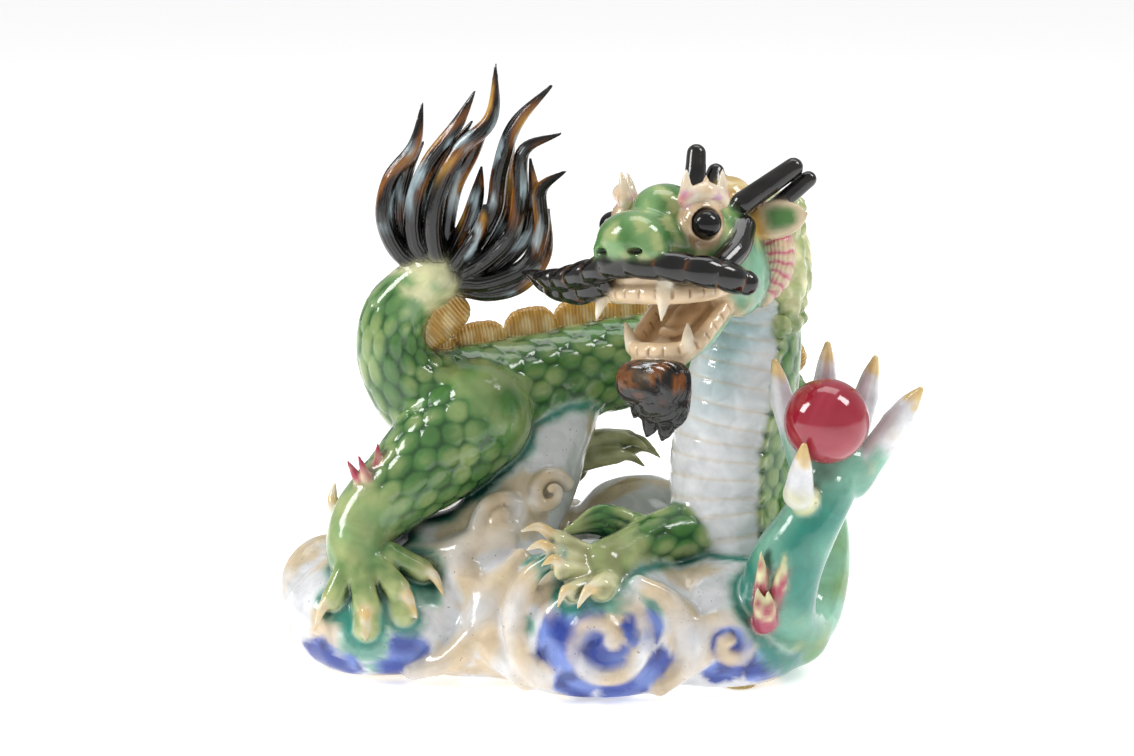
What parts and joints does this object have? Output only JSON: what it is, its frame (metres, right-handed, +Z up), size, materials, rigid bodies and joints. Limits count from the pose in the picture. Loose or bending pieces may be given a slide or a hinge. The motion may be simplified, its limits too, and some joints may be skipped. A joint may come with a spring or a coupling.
{
  "type": "dragon figurine",
  "caption": "Glazed porcelain dragon looping out of a bank of clouds, jaws open, with a flame-like tail tuft and a red pearl held in its raised hand.",
  "frame": {"origin": "on the shelf surface, below the centre of the bounding box", "axes": "+X to the right of the figure as seen from the front, along its length; -Y is the front; +Z up"},
  "size_m": [0.2102, 0.1308, 0.1986],
  "materials": {
    "porcelain": "glossy poured glazes: green scales, teal arm, white and cream clouds with cobalt blue, black-brown hair, amber fins",
    "pearl_glaze": "glossy crimson glaze",
    "eye_glaze": "glossy black glaze",
    "foot_pad": "yellowed clear bumper, satin"
  },
  "bodies": {
    "root": {"dragon_on_clouds": "porcelain", "pearl": "pearl_glaze", "left_eye": "eye_glaze", "right_eye": "eye_glaze", "foot_front_left": "foot_pad", "foot_front_right": "foot_pad", "foot_back_left": "foot_pad", "foot_back_right": "foot_pad"}
  },
  "joints": []
}
